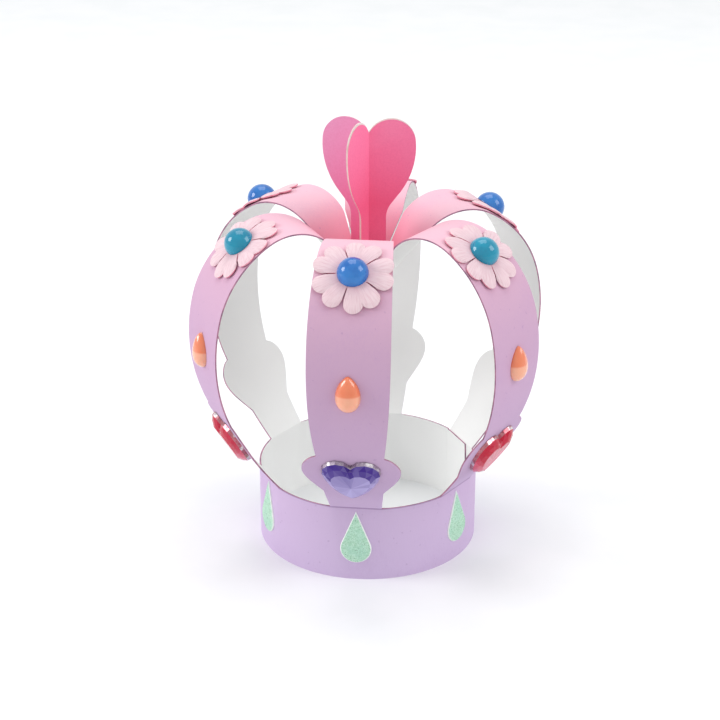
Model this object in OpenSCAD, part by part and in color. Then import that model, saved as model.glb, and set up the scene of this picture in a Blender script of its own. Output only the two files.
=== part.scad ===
// Paper party crown: a round band with six arms cut from one sheet of card,
// bent over to the middle, where three folded paper hearts stand.
// Each arm carries a paper flower with a pearl, a drop cabochon and a heart gem,
// and a flat drop is glued to the band below it.
// Origin: middle of the band's bottom edge. +Z is up, the front arm points to -Y.

/* [Card] */
// Thickness of the card
card_t = 0.5; // [0.3:0.05:0.8]

/* [Band] */
// Outer diameter of the band
band_d = 75; // [66:1:90]
// Height of the band
band_h = 26.4; // [20:0.2:34]
// Width of the glue tab inside the band, past the seam
tab_w = 15; // [8:0.5:16]
// Width of the seam in the outer layer
seam_gap = 0.2; // [0.1:0.05:0.4]

/* [Arm outline] */
// Width of an arm at its fold, and of the band's flat below it
foot_w = 17; // [14:0.5:20]
// Length of the foot from the fold to the notch
foot_len = 11.8; // [9:0.2:13]
// Width at the notch above the foot
notch_w = 19.4; // [17:0.2:22]
// Width across the two round lobes
lobe_w = 31.4; // [26:0.2:34]
// Length of the lobes along the arm
lobe_len = 20.2; // [17:0.2:23]
// Width at the waist above the lobes
waist_w = 21.6; // [19:0.2:23]
// Width at the middle of the arm, its widest stretch
mid_w = 26; // [23:0.2:29]
// Distance of the widest stretch from the fold
mid_at = 66; // [58:1:72]
// Width where the arm turns down to the middle
crest_w = 21.6; // [19:0.2:24]
// Gap between the edges of neighbouring tips
tip_gap = 0.6; // [0.3:0.1:1.2]

/* [Arm bends] */
// Lean of an arm at its fold, from upright
fold_lean = 39; // [33:1:44]
// Length of the lowest bend
low_len = 28; // [25:0.5:31]
// Turn of the lowest bend
low_turn = 11; // [8:0.5:14]
// Length of the side bend
side_len = 43; // [39:0.5:47]
// Turn of the side bend
side_turn = 42; // [38:0.5:46]
// Length of the shoulder bend
shoulder_len = 30; // [27:0.5:33]
// Turn of the shoulder bend
shoulder_turn = 48; // [44:0.5:52]
// Length of the bend over the top
top_len = 26; // [24:0.5:28]
// Turn of the bend over the top
top_turn = 82; // [78:0.5:86]
// Distance of the tips' ends from the crown's axis
tip_end_r = 4; // [3:0.1:4.2]

/* [Hearts] */
// Thickness of the hearts' card
heart_t = 0.3; // [0.2:0.05:0.5]
// Width of a heart, both halves flat
heart_w = 30.8; // [26:0.2:36]
// Height of a heart from the cleft to the bottom of its stem
heart_len = 47.8; // [45:0.2:58]
// Radius of the lobes' tops, as a share of the heart's width
heart_lobe_share = 0.26; // [0.255:0.005:0.27]
// Radius of the heart's sides
heart_side_r = 25; // [22:1:40]
// Slope of the sides where they run into the waist, from upright
heart_taper = 38; // [34:1:42]
// Radius of the waist above the stem
heart_waist_r = 8; // [5:0.5:12]
// Width of the stem
stem_w = 11.6; // [9:0.1:12]
// How much higher each heart is glued than the one before it
heart_slip = 0.3; // [0:0.05:0.6]
// Turn of each wing from the arm that its stem leans on
wing_turn = 20; // [14:1:24]
// Clearance between the stem's corner and the tip that it leans on
stem_clear = 0.05; // [0.02:0.01:0.15]

/* [Flowers and pearls] */
// Distance of a flower from the fold, along the arm
flower_at = 95; // [91:0.5:97]
// Diameter of a flower
flower_d = 26; // [22:0.5:28]
// Thickness of the flowers' paper
petal_t = 0.6; // [0.4:0.05:0.9]
// Radius of a petal's two round ends
petal_end_r = 3.1; // [2.6:0.05:3.2]
// Angle between the middle of a petal and each of its ends
petal_split = 16; // [15:0.5:17]
// Turn of the petals round the pearl
flower_turn = 3; // [0:1:72]
// Rise of the petals' roots above the card
petal_rise = 0.65; // [0.5:0.05:1]
// Droop of the petals that lie along the arm
petal_droop = 13; // [8:1:14]
// Diameter of a pearl
pearl_d = 10; // [8:0.5:11]

/* [Drops and gems] */
// Distance of a drop cabochon from the fold, along the arm
drop_at = 57; // [53:0.5:61]
// Length of a drop cabochon
drop_len = 12; // [10:0.5:14]
// Width of a drop cabochon
drop_w = 8; // [6:0.5:10]
// Height of a drop cabochon
drop_h = 3.2; // [2:0.2:4.5]
// Distance of a heart gem from the fold, along the arm
gem_at = 20.5; // [19:0.5:21]
// Width of a heart gem
gem_w = 19.4; // [16:0.2:21]
// Length of a heart gem
gem_len = 20; // [17:0.5:21]
// Height of a heart gem
gem_h = 3.4; // [3:0.2:5]

/* [Band drops] */
// Length of a flat drop on the band
band_drop_len = 18.8; // [15:0.2:21]
// Width of a flat drop on the band
band_drop_w = 10.4; // [8:0.2:13]
// Thickness of a flat drop
band_drop_t = 0.5; // [0.3:0.05:0.8]
// Distance of its point below the band's top edge
band_drop_below = 1.3; // [0.4:0.1:3]

/* [Hidden] */
$fn = 64;
SIDES = ["front", "front_left", "back_left", "back", "back_right", "front_right"];

arm_count = len(SIDES);
arm_step = 360 / arm_count;
band_r = band_d / 2;
// The folds are straight, so the band is flat below each arm. The flats run out just below its bottom edge
fold_r = sqrt(pow(band_r, 2) - pow(foot_w / 2, 2));
flat_past = 3 * card_t;
flat_lean = atan((band_r - fold_r) / (band_h + flat_past));
// Depth and inset of an arm's root inside the band's wall
root_depth = 1;
root_inset = card_t * 0.2;
// Length of card between two stations of an arm
station_step = 2.4;
// Lengths of the flat stretches that the glued pieces press into an arm
gem_seat = 12;
drop_seat = 9;
flower_seat = 8;
// Arm that lies over the band's seam
seam_arm = 4;
// How far a cut runs past the face that it starts from
cut_past = 1;

bend_turns = [low_turn, side_turn, shoulder_turn, top_turn];
tip_lean = fold_lean - low_turn - side_turn - shoulder_turn - top_turn;
bent_lens = [low_len, side_len, shoulder_len, top_len];
bent_end = bend_run(sum(bent_lens), fold_r, band_h, 0);
// The straight tip runs on until it reaches its distance from the axis
tip_len = (bent_end[0] - tip_end_r) / -sin(tip_lean);
arm_len = sum(bent_lens) + tip_len;
tip_slope = cos(tip_lean) / sin(tip_lean);
seats = [[gem_at, gem_seat], [drop_at, drop_seat], [flower_at, flower_seat]];

function sum(list, i = 0) = i < len(list) ? list[i] + sum(list, i + 1) : 0;

// Angle of arm k seen from above: the front arm first, then clockwise
function arm_angle(k) = 270 - arm_step * k;

// Lean of the arm at the start of bend i
function lean_before(i) = i == 0 ? fold_lean : lean_before(i - 1) - bend_turns[i - 1];

// Lean of the arm at distance s from its fold
function lean_at(s, i = 0) =
    i == len(bent_lens) ? tip_lean
    : s < bent_lens[i] ? lean_before(i) - bend_turns[i] * s / bent_lens[i]
    : lean_at(s - bent_lens[i], i + 1);

// Move along bend i by distance q: an arc of constant bend
function arc_move(i, q) =
    let (lean = lean_before(i), per_mm = bend_turns[i] / bent_lens[i], radius = 180 / PI / per_mm)
    [radius * (cos(lean - per_mm * q) - cos(lean)), radius * (sin(lean) - sin(lean - per_mm * q))];

// Point [radius, height] at distance s along the bends from [r, z], then along the straight tip
function bend_run(s, r, z, i) =
    i == len(bent_lens) ? [r + s * sin(tip_lean), z + s * cos(tip_lean)]
    : let (step = arc_move(i, min(s, bent_lens[i])))
        s <= bent_lens[i] ? [r + step[0], z + step[1]]
        : bend_run(s - bent_lens[i], r + step[0], z + step[1], i + 1);

function bent_point(s) = bend_run(s, fold_r, band_h, 0);

// The seat that distance s lies in, if any
function seat_at(s) = [for (seat = seats) if (abs(s - seat[0]) < seat[1] / 2 - 0.01) seat];

// Ends of a seat, its middle and its lean
function seat_ends(seat) = [bent_point(seat[0] - seat[1] / 2), bent_point(seat[0] + seat[1] / 2)];
function seat_middle(seat) = let (ends = seat_ends(seat)) (ends[0] + ends[1]) / 2;
function seat_lean(seat) =
    let (ends = seat_ends(seat), run = ends[1] - ends[0])
    atan2(run[0], run[1]);

// Point on the arm's outer face, and the lean there: bent, or straight across a seat
function arm_point(s) =
    let (found = seat_at(s))
    len(found) == 0 ? bent_point(s)
    : let (seat = found[0], ends = seat_ends(seat), share = (s - seat[0]) / seat[1] + 0.5)
        ends[0] + share * (ends[1] - ends[0]);
function arm_lean(s) =
    let (found = seat_at(s))
    len(found) == 0 ? lean_at(s) : seat_lean(found[0]);

// Half the width of the arm at distance s from its fold
lobe_end = foot_len + lobe_len;
crest_at = sum(bent_lens) - top_len / 2;
function foot_half(s) = (foot_w + (notch_w - foot_w) * s / foot_len) / 2;
// The lobes swell late and close in a round shoulder
function lobe_half(s) =
    let (share = (s - foot_len) / lobe_len, base = notch_w + (waist_w - notch_w) * share,
        swell = pow(sin(180 * pow(share, 1.5)), 0.7))
    (base + (lobe_w - (notch_w + waist_w) / 2) * swell) / 2;
function strip_half(s) =
    let (low = s < mid_at, edge_w = low ? waist_w : crest_w,
        reach = low ? mid_at - lobe_end : crest_at - mid_at)
    (mid_w - (mid_w - edge_w) * pow((s - mid_at) / reach, 2)) / 2;
// Six tips meet round the axis, so each narrows with its distance from it
function wedge_half(s) = bent_point(s)[0] * tan(arm_step / 2) - tip_gap / 2;
tip_round = wedge_half(arm_len);
function tip_half(s) =
    let (past = s - (arm_len - tip_round))
    past <= 0 ? wedge_half(s) : max(sqrt(max(pow(tip_round, 2) - pow(past, 2), 0)), tip_gap / 2);
function arm_half(s) =
    s <= foot_len ? foot_half(s)
    : s < lobe_end ? lobe_half(s)
    : min(strip_half(s), tip_half(s));

// Stations along an arm, spaced evenly between the points where its outline or its bend changes
function spread(from, to) =
    let (count = max(ceil((to - from) / station_step), 1))
    [for (i = [0 : count - 1]) from + (to - from) * i / count];
marks = [
    0, foot_len, gem_at - gem_seat / 2, gem_at + gem_seat / 2, lobe_end,
    drop_at - drop_seat / 2, drop_at + drop_seat / 2,
    flower_at - flower_seat / 2, flower_at + flower_seat / 2,
    sum(bent_lens), arm_len - tip_round, arm_len];
function sorted(list) =
    len(list) < 2 ? list
    : let (first = list[0], rest = [for (i = [1 : len(list) - 1]) list[i]])
        concat(
            sorted([for (v = rest) if (v < first) v]), [first],
            sorted([for (v = rest) if (v >= first) v]));
marks_up = sorted(marks);
stations = concat(
    [for (i = [0 : len(marks_up) - 2]) each spread(marks_up[i], marks_up[i + 1])],
    [arm_len]);

// Four corners of a cross-section: outer face first, then inner face
function corners(outer, inner, half) = [
    [outer[0], half, outer[1]], [outer[0], -half, outer[1]],
    [inner[0], -half, inner[1]], [inner[0], half, inner[1]]];
function inner_point(outer, lean) = outer - card_t * [cos(lean), -sin(lean)];
root_corners = corners(
    [fold_r - root_inset, band_h - root_depth], [fold_r - card_t + root_inset, band_h - root_depth],
    foot_w / 2 - root_inset);
fold_corners = corners(
    [fold_r, band_h], [fold_r - card_t, band_h + card_t * tan(fold_lean / 2)], (foot_w - root_inset) / 2);
arm_rings = concat(
    [root_corners, fold_corners],
    [for (i = [1 : len(stations) - 1]) let (s = stations[i], outer = arm_point(s))
        corners(outer, inner_point(outer, arm_lean(s)), arm_half(s))]);

// A closed solid through rings of points with equal counts
module skin(rings) {
    around = len(rings[0]);
    last = len(rings) - 1;
    points = [for (ring = rings) each ring];
    sides = [for (i = [0 : last - 1], j = [0 : around - 1])
        let (a = i * around + j, b = i * around + (j + 1) % around)
        each [[a, b, b + around], [a, b + around, a + around]]];
    bottom = [for (j = [around - 1 : -1 : 0]) j];
    top = [for (j = [0 : around - 1]) last * around + j];
    polyhedron(points, concat(sides, [bottom, top]));
}

module around_arms() {
    for (k = [0 : arm_count - 1]) rotate(arm_angle(k)) children();
}

// Frame of the band's flat: at the middle of the fold, +Z up along the flat, +X out of the card
module on_flat() {
    translate([fold_r, 0, band_h]) rotate([0, -flat_lean, 0]) children();
}

// A round bar with flats below the arms
module flatted_bar(inset, from, to) {
    difference() {
        translate([0, 0, from]) cylinder(r = band_r - inset, h = to - from);
        around_arms()
            on_flat()
                translate([-inset, -band_r, -2 * band_h])
                    cube([band_r, band_d, 4 * band_h]);
    }
}

module band() {
    difference() {
        flatted_bar(0, 0, band_h);
        flatted_bar(card_t, -cut_past, band_h + cut_past);
        rotate(arm_angle(seam_arm))
            translate([fold_r - card_t - cut_past, foot_w / 2 + seam_gap, -cut_past])
                cube([card_t + 2 * cut_past, seam_gap, band_h + 2 * cut_past]);
    }
}

// The band's inner end, lapped behind the seam
module glue_tab() {
    past_seam = 2;
    lap = card_t * 0.1;
    reach = 4 * card_t;
    intersection() {
        difference() {
            flatted_bar(card_t - lap, 0, band_h - root_depth - card_t);
            flatted_bar(2 * card_t, -cut_past, band_h);
        }
        rotate(arm_angle(seam_arm))
            translate([fold_r - reach, foot_w / 2 + past_seam - tab_w, 0])
                cube([2 * reach, tab_w, band_h]);
    }
}

module crown_body() {
    color("plum") {
        band();
        glue_tab();
        around_arms() skin(arm_rings);
    }
}

// Places a piece on the outer face of arm k: +Z points out of the card, +Y up along the arm
module on_arm(k, seat) {
    middle = seat_middle(seat);
    rotate(arm_angle(k))
        translate([middle[0], 0, middle[1]])
            rotate([0, 90 + seat_lean(seat), 0])
                rotate(90)
                    children();
}

// Half of a heart with its stem, beside the crease. The cleft's height is 0
heart_lobe_r = heart_w * heart_lobe_share;
// The lobe runs into the side just above the heart's widest point
side_start = 5;
lobe_x = heart_w / 2 - heart_side_r + (heart_side_r - heart_lobe_r) * cos(side_start);
lobe_mid = [lobe_x, -sqrt(pow(heart_lobe_r, 2) - pow(lobe_x, 2))];
cleft_angle = 180 - acos(lobe_x / heart_lobe_r);
side_mid = lobe_mid + (heart_lobe_r - heart_side_r) * [cos(side_start), sin(side_start)];
lobe_steps = 18;
side_steps = 7;
waist_steps = 6;
side_step = (side_start + heart_taper) / side_steps;
function arc_points(middle, radius, from, to, count) =
    [for (i = [0 : count]) let (a = from + (to - from) * i / count) middle + radius * [cos(a), sin(a)]];
side_end = side_mid + heart_side_r * [cos(heart_taper), -sin(heart_taper)];
waist_x = stem_w / 2 + heart_waist_r;
waist_run = (side_end[0] - waist_x + heart_waist_r * cos(heart_taper)) / sin(heart_taper);
waist_y = side_end[1] - waist_run * cos(heart_taper) - heart_waist_r * sin(heart_taper);
half_heart = concat(
    arc_points(lobe_mid, heart_lobe_r, cleft_angle, side_start, lobe_steps),
    arc_points(side_mid, heart_side_r, side_start - side_step, -heart_taper, side_steps - 1),
    arc_points([waist_x, waist_y], heart_waist_r, 180 - heart_taper, 180, waist_steps),
    [[stem_w / 2, -heart_len], [0, -heart_len]]);

// The stem's bottom corners lean on the tips of three arms
lean_r = (stem_w / 2) * cos(wing_turn) + heart_t * sin(wing_turn) + stem_clear;
stem_z = bent_end[1] + (lean_r - bent_end[0]) * tip_slope;
wing_right = arm_angle(4) - wing_turn;
wing_left = arm_angle(2) + wing_turn;
wing_front = arm_angle(0) - wing_turn;

// One wing of a folded heart along +X, its card on the +Y side. In a narrow fold it ends at the other wing's face
module wing(opening) {
    difference() {
        rotate([90, 0, 0]) translate([0, 0, -heart_t]) linear_extrude(heart_t) polygon(half_heart);
        if (opening < 90)
            rotate(opening)
                translate([-heart_w, 0, -heart_len - cut_past])
                    cube([2 * heart_w, heart_w, heart_len + heart_w]);
    }
}

// A heart folded along its middle, open between two wings, going anticlockwise from the first
module folded_heart(first, second, slips) {
    opening = second - first;
    translate([0, 0, stem_z + heart_len + slips * heart_slip]) {
        rotate(first) wing(opening);
        rotate(second) mirror([0, 1, 0]) wing(opening);
    }
}

module heart_front() {
    color("palevioletred") folded_heart(wing_front, wing_right + 360, 0);
}

module heart_left() {
    color("palevioletred") folded_heart(wing_left, wing_front, 2);
}

module heart_back() {
    color("palevioletred") folded_heart(wing_right, wing_left, 1);
}

// Paper flower: five petals with two round ends each round a flat hub.
// Petals that lie along the arm follow its bend down
petal_count = 5;
hub_margin = 0.3;
hub_r = pearl_d / 2 + hub_margin;
hub_h = petal_rise + petal_t;
petal_reach = flower_d / 2 - petal_end_r;
petal_root = pearl_d * 0.42;
root_half = petal_root * tan(petal_split);
module petal(direction) {
    rotate(direction)
        translate([petal_root, 0, petal_rise])
            rotate([0, petal_droop * pow(sin(direction), 4), 0])
                translate([-petal_root, 0])
                    linear_extrude(petal_t) {
                        for (side = [-1, 1])
                            rotate(side * petal_split) translate([petal_reach, 0]) circle(petal_end_r);
                        polygon([
                            [petal_root, -root_half],
                            for (side = [-1, 1]) petal_reach * [cos(petal_split), side * sin(petal_split)]
                                + petal_end_r * [-sin(petal_split) * 0.5, side * cos(petal_split)],
                            [petal_root, root_half]]);
                    }
}

module flower(k) {
    color("mistyrose")
        on_arm(k, seats[2]) {
            cylinder(r = hub_r, h = hub_h);
            for (i = [0 : petal_count - 1]) petal(flower_turn + 360 / petal_count * i);
        }
}

// Half pearl on the flower's hub
module pearl(k) {
    color(k % 2 == 0 ? "steelblue" : "darkturquoise")
        on_arm(k, seats[2])
            translate([0, 0, hub_h])
                intersection() {
                    sphere(d = pearl_d);
                    cylinder(d = pearl_d + 2 * cut_past, h = pearl_d);
                }
}

// Drop outline: round below, pointed above. The swell makes its greatest width the drop's width
drop_points = 28;
drop_swell = 0.565;
drop_sharp = 0.4;
function drop_outline(size) = [for (i = [0 : drop_points - 1])
    let (a = 360 / drop_points * (i + 0.5))
    size * [-drop_w * drop_swell * sin(a) * pow(abs(sin(a / 2)), drop_sharp), drop_len / 2 * cos(a)]];
function level(outline, z, shift) = [for (p = outline) [p[0], p[1] + shift, z]];
dome_steps = 6;
module drop(k) {
    color("sandybrown")
        on_arm(k, seats[1])
            skin([for (i = [0 : dome_steps])
                let (a = i * 84 / dome_steps)
                level(drop_outline(cos(a)), drop_h * sin(a), -drop_len * 0.12 * (1 - cos(a)))]);
}

// Heart outline of a gem: a round lobe, then a side that runs into the point
gem_points = 20;
gem_lobe_r = gem_w * 0.27;
gem_lobe_mid = [gem_w / 2 - gem_lobe_r, gem_len / 2 - gem_lobe_r];
gem_cleft_angle = 180 - acos(gem_lobe_mid[0] / gem_lobe_r);
gem_side_start = -8;
gem_side_way = [cos(gem_side_start), sin(gem_side_start)];
gem_point = [0, -gem_len / 2] - gem_lobe_mid;
// Radius of the arc that leaves the lobe smoothly and ends at the point
gem_side_r = pow(norm(gem_point - gem_lobe_r * gem_side_way), 2)
    / (2 * (gem_lobe_r - gem_point * gem_side_way));
gem_side_mid = gem_lobe_mid + (gem_lobe_r - gem_side_r) * gem_side_way;
gem_side_end = -atan2(gem_side_mid[1] + gem_len / 2, -gem_side_mid[0]);
// Point of the right half, from the cleft at share 0 to the point at share 1
function gem_curve(share) =
    let (lobe = share < 0.5, part = lobe ? 2 * share : 2 * share - 1,
        middle = lobe ? gem_lobe_mid : gem_side_mid,
        from = lobe ? gem_cleft_angle : gem_side_start, to = lobe ? gem_side_start : gem_side_end,
        a = from + (to - from) * part)
    middle + (lobe ? gem_lobe_r : gem_side_r) * [cos(a), sin(a)];
function gem_outline(size, turn) = [for (i = [0 : gem_points - 1])
    let (share = 2 * (i + turn) / gem_points, p = gem_curve(min(share, 2 - share)))
    size * [share < 1 ? -p[0] : p[0], p[1]]];
// Cut of the gem from its flat back to its table: size, share of the height, half steps turned
gem_cut = [[1, 0, 0], [0.97, 0.36, 0], [0.84, 0.72, 0.5], [0.66, 1, 0]];
module gem(k) {
    color(k % 2 == 0 ? "mediumpurple" : "crimson")
        on_arm(k, seats[0])
            skin([for (cut = gem_cut) level(gem_outline(cut[0], cut[2]), gem_h * cut[1], 0)]);
}

// Flat drop of card on the band's flat, its point up
module band_drop(k) {
    radius = band_drop_w / 2;
    reach = band_drop_len - radius;
    side = asin(radius / reach);
    color("mediumaquamarine")
        rotate(arm_angle(k))
            on_flat()
                translate([0, 0, -band_drop_below - reach])
                    rotate([90, 0, 90])
                        linear_extrude(band_drop_t) {
                            circle(radius);
                            polygon([
                                [0, reach],
                                radius * [-cos(side), sin(side)],
                                radius * [cos(side), sin(side)]]);
                        }
}

crown_body();
heart_front();
heart_left();
heart_back();
for (k = [0 : arm_count - 1]) {
    flower(k);
    pearl(k);
    drop(k);
    gem(k);
    band_drop(k);
}
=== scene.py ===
# %% [markdown]
# # A paper party crown
# The crown is one sheet of card: a round band with six arms that lean out, bend over and dive to the
# middle, where three folded paper hearts stand. Each arm carries a paper flower with a half pearl, a drop
# cabochon and a heart gem, and a drop of glitter card is glued to the band below it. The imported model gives
# the solid pieces and their places. Every piece made here stands for one of them and lies exactly where it
# lies.

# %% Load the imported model
import math
import random

import bpy
from mathutils import Matrix, Vector


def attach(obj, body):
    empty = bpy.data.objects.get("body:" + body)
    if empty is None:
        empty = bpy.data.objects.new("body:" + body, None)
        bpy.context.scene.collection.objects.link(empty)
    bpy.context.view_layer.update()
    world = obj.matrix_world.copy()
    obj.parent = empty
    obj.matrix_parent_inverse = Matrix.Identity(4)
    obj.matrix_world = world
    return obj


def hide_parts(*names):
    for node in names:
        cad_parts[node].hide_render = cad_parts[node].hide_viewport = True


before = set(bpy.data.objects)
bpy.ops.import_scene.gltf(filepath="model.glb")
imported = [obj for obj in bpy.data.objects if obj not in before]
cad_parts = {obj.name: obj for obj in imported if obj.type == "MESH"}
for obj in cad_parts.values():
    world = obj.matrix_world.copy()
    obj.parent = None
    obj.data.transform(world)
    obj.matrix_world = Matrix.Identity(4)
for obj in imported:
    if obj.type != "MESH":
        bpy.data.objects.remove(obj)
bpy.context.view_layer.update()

print("pieces in the packed model:", len(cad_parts))

# %% [markdown]
# ## Sizes
# Blender works in metres, and a maker of paper crafts thinks in millimetres, so each length is written as a
# number times `mm`. The bends of an arm are pairs: how long the bend is along the card, and how far it
# turns.

# %% Sizes of the card
mm = 0.001
card_thick = 0.5 * mm
band_radius = 37.5 * mm
band_height = 26.4 * mm
foot_width = 17 * mm
fold_radius = math.sqrt(band_radius ** 2 - (foot_width / 2) ** 2)
fold_lean = math.radians(39)
arm_bends = [(28 * mm, math.radians(11)), (43 * mm, math.radians(42)),
             (30 * mm, math.radians(48)), (26 * mm, math.radians(82))]
tip_end_radius = 4 * mm
sides = ["front", "front_left", "back_left", "back", "back_right", "front_right"]
arm_step = 2 * math.pi / len(sides)


def arm_angle(index):
    """Direction of an arm seen from above. The front arm comes first, then they go clockwise."""
    return math.radians(270) - arm_step * index


print("radius of the folds, mm:", round(fold_radius / mm, 2))

# %% [markdown]
# ## The bend of an arm
# Card that is rolled between finger and thumb takes an even bend, so each stretch of the arm is an arc, and
# the tip runs on straight. Walking along the arcs gives the radius, the height and the lean at any distance
# from the fold.

# %% Walk along an arm


def arm_at(distance):
    """Radius, height and lean of the arm's outer face at a distance from its fold."""
    radius, height, lean = fold_radius, band_height, fold_lean
    for length, turn in arm_bends:
        run = min(distance, length)
        bend_radius = length / turn
        end = lean - run / bend_radius
        radius += bend_radius * (math.cos(end) - math.cos(lean))
        height += bend_radius * (math.sin(lean) - math.sin(end))
        lean = end
        distance -= run
    return radius + distance * math.sin(lean), height + distance * math.cos(lean), lean


bent_length = sum(length for length, turn in arm_bends)
bent_end = arm_at(bent_length)
arm_length = bent_length + (bent_end[0] - tip_end_radius) / -math.sin(bent_end[2])
print("length of an arm, mm:", round(arm_length / mm, 1))

# %% [markdown]
# ## The outline of an arm
# Flat on the cutting mat, an arm has a foot, a notch, two round lobes that frame the gem, a waist, a long
# strip that is widest at its middle, and a tip that narrows so that six tips fit round the middle without
# touching.

# %% Half the width of an arm
foot_length = 11.8 * mm
notch_width = 19.4 * mm
lobe_width = 31.4 * mm
lobe_length = 20.2 * mm
waist_width = 21.6 * mm
middle_width = 26 * mm
middle_at = 66 * mm
crest_width = 21.6 * mm
tip_gap = 0.6 * mm
lobe_end = foot_length + lobe_length
crest_at = bent_length - arm_bends[-1][0] / 2


def wedge_half(distance):
    """Half the width that six neighbours leave for a tip."""
    return arm_at(distance)[0] * math.tan(arm_step / 2) - tip_gap / 2


tip_round = wedge_half(arm_length)


def arm_half(distance):
    """Half the width of the arm at a distance from its fold."""
    if distance <= foot_length:
        return (foot_width + (notch_width - foot_width) * distance / foot_length) / 2
    if distance < lobe_end:
        share = (distance - foot_length) / lobe_length
        base = notch_width + (waist_width - notch_width) * share
        swell = math.sin(math.pi * share ** 1.5) ** 0.7
        return (base + (lobe_width - (notch_width + waist_width) / 2) * swell) / 2
    low = distance < middle_at
    reach = middle_at - lobe_end if low else crest_at - middle_at
    narrow = middle_width - (waist_width if low else crest_width)
    strip = (middle_width - narrow * ((distance - middle_at) / reach) ** 2) / 2
    past = distance - (arm_length - tip_round)
    if past <= 0:
        return min(strip, wedge_half(distance))
    return max(math.sqrt(max(tip_round ** 2 - past ** 2, 0)), tip_gap / 2)


print("half widths at foot, lobes and crest, mm:",
      [round(arm_half(at) / mm, 1) for at in (0, 25 * mm, crest_at)])

# %% [markdown]
# ## Seats for the glued pieces
# A piece with a flat back presses the card flat under it, and the card springs back into its bend beside
# it. Each seat is a straight stretch between two points of the bend. Its frame, with X across the arm, Y up
# along it and Z out of the card, places everything that is glued there.

# %% Seats
gem_seat = (20.5 * mm, 12 * mm, 19.4 * mm)
drop_seat = (57 * mm, 9 * mm, 8 * mm)
flower_seat = (95 * mm, 8 * mm, 10 * mm)
seats = [gem_seat, drop_seat, flower_seat]
spring_back = 4 * mm


def smooth_step(low, high, value):
    share = min(max((value - low) / (high - low), 0), 1)
    return share * share * (3 - 2 * share)


def card_point(distance, across):
    """Radius and height of the card, pressed flat under a glued piece."""
    radius, height, lean = arm_at(distance)
    for middle, length, width in seats:
        if abs(distance - middle) < length / 2:
            low = arm_at(middle - length / 2)
            high = arm_at(middle + length / 2)
            share = (distance - middle) / length + 0.5
            hold = 1 - smooth_step(width / 2, width / 2 + spring_back, abs(across))
            radius += hold * (low[0] + share * (high[0] - low[0]) - radius)
            height += hold * (low[1] + share * (high[1] - low[1]) - height)
    return radius, height


def frame_matrix(index, radius, height, lean):
    """Matrix of a frame on the outer face of an arm or of the band."""
    radial = Vector((math.cos(arm_angle(index)), math.sin(arm_angle(index)), 0))
    rise = Vector((0, 0, 1))
    out = radial * math.cos(lean) - rise * math.sin(lean)
    up = radial * math.sin(lean) + rise * math.cos(lean)
    matrix = Matrix((up.cross(out), up, out)).transposed().to_4x4()
    matrix.translation = radial * radius + rise * height
    return matrix


def seat_line(seat):
    """Radius, height and lean of a seat's straight stretch at its middle."""
    low = arm_at(seat[0] - seat[1] / 2)
    high = arm_at(seat[0] + seat[1] / 2)
    lean = math.atan2(high[0] - low[0], high[1] - low[1])
    return (low[0] + high[0]) / 2, (low[1] + high[1]) / 2, lean


def seat_matrix(index, seat):
    """Frame of a seat on arm number index."""
    return frame_matrix(index, *seat_line(seat))


print("flower seat of the front arm, mm:",
      [round(v / mm, 1) for v in seat_matrix(0, flower_seat).translation])

# %% [markdown]
# ## Writing shaders and rules as sums
# A material is a net of nodes. Clicking them together is slow to read back, so a small class wraps a socket
# and lets Python's own operators add the Math nodes. One method, `add`, makes any other node from its type,
# its settings and what goes into its sockets. The same class serves the Geometry Nodes trees further down.

# %% A socket that takes part in sums


class Wire:
    """An output socket. Sums with it add Math nodes to its net."""

    def __init__(self, net, socket):
        self.net = net
        self.socket = socket

    def maths(self, operation, first, second):
        return self.net.add("ShaderNodeMath", {"operation": operation}, {0: first, 1: second})

    def __add__(self, other):
        return self.maths("ADD", self, other)

    def __sub__(self, other):
        return self.maths("SUBTRACT", self, other)

    def __rsub__(self, other):
        return self.maths("SUBTRACT", other, self)

    def __mul__(self, other):
        return self.maths("MULTIPLY", self, other)

    def __truediv__(self, other):
        return self.maths("DIVIDE", self, other)

    def __rtruediv__(self, other):
        return self.maths("DIVIDE", other, self)

    __radd__ = __add__
    __rmul__ = __mul__


class Net:
    """A node tree under construction."""

    def __init__(self, tree):
        self.tree = tree

    def add(self, kind, settings=None, inputs=None, output=0):
        """A new node. Settings come first, then what goes into its sockets. Returns one output."""
        node = self.tree.nodes.new(kind)
        for key, value in (settings or {}).items():
            if key == "stops":
                set_stops(node.color_ramp, value)
            else:
                setattr(node, key, value)
        self.plug(node, inputs or {})
        return Wire(self, node.outputs[output])

    def plug(self, node, inputs):
        for key, value in inputs.items():
            for part in value if isinstance(value, list) else [value]:
                if isinstance(part, Wire):
                    self.tree.links.new(part.socket, node.inputs[key])
                else:
                    node.inputs[key].default_value = part


def set_stops(ramp, stops):
    """Fills a colour ramp from hex codes by their places."""
    while len(ramp.elements) < len(stops):
        ramp.elements.new(1)
    for element, (place, code) in zip(ramp.elements, stops.items()):
        element.position = place
        element.color = ink(code)


print("classes that write node trees:", Wire.__name__, Net.__name__)

# %% [markdown]
# ## Finishes
# Colours are written as a painter's hex code and turned into the linear numbers that Blender works with. A
# finish starts from the Principled shader. Its patterns read Object coordinates, in metres, so a noise
# scale of 1000 gives spots of about a millimetre.

# %% The base of every finish


def ink(code):
    """Linear colour of a hex code."""
    parts = [int(code[i:i + 2], 16) / 255 for i in (0, 2, 4)]
    linear = [p / 12.92 if p <= 0.04045 else ((p + 0.055) / 1.055) ** 2.4 for p in parts]
    return (*linear, 1)


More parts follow.
